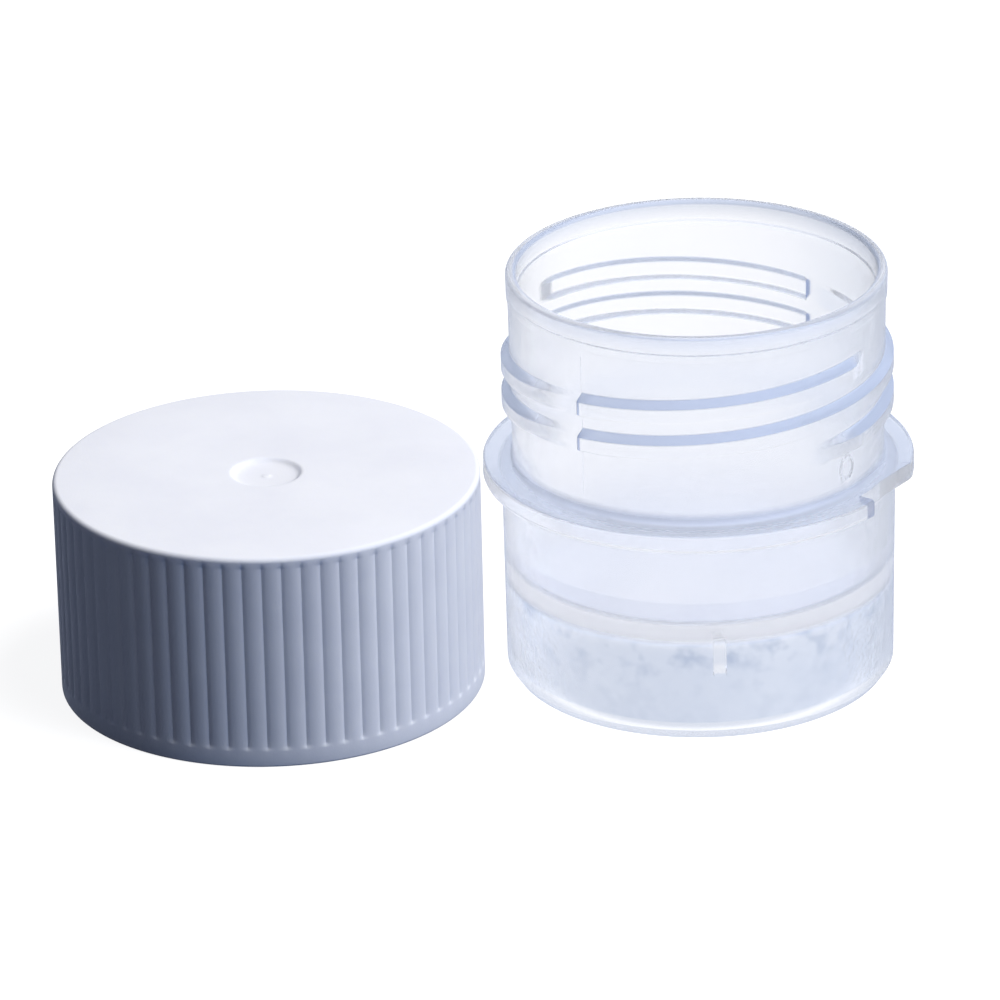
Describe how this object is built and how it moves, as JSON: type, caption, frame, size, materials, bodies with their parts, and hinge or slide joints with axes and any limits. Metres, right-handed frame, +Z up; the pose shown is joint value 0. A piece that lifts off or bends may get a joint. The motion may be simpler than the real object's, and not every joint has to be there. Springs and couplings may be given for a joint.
{
  "type": "screw-cap sample container",
  "caption": "Squat wide-mouth sample container with a threaded neck, carrying flange and raised floor, and its ribbed screw cap standing beside it.",
  "frame": {"origin": "on the surface both pieces stand on, at the middle of the pair's outline seen from above", "axes": "+Z up along both pieces' axes, +X from the cap towards the container, +Y away from the front"},
  "size_m": [0.0874, 0.0456, 0.0434],
  "materials": {
    "container_plastic": "natural milky translucent polypropylene, satin moulded surface",
    "cap_plastic": "white polyethylene, fine satin moulded surface with sharp reeds",
    "liner_foam": "off-white expanded polyethylene sealing wad, smooth skin"
  },
  "bodies": {
    "container": {"container_body": "container_plastic"},
    "liner": {"cap_liner": "liner_foam"},
    "cap": {"screw_cap": "cap_plastic"}
  },
  "joints": [
    {"name": "cap_lift", "type": "slide", "parent": "container", "child": "liner", "axis": [0, 0, 1], "range_m": [0, 0.06]},
    {"name": "cap_turn", "type": "hinge", "parent": "liner", "child": "cap", "pos_m": [-0.02203, -0.00106, 0], "axis": [0, 0, 1], "continuous": true}
  ]
}
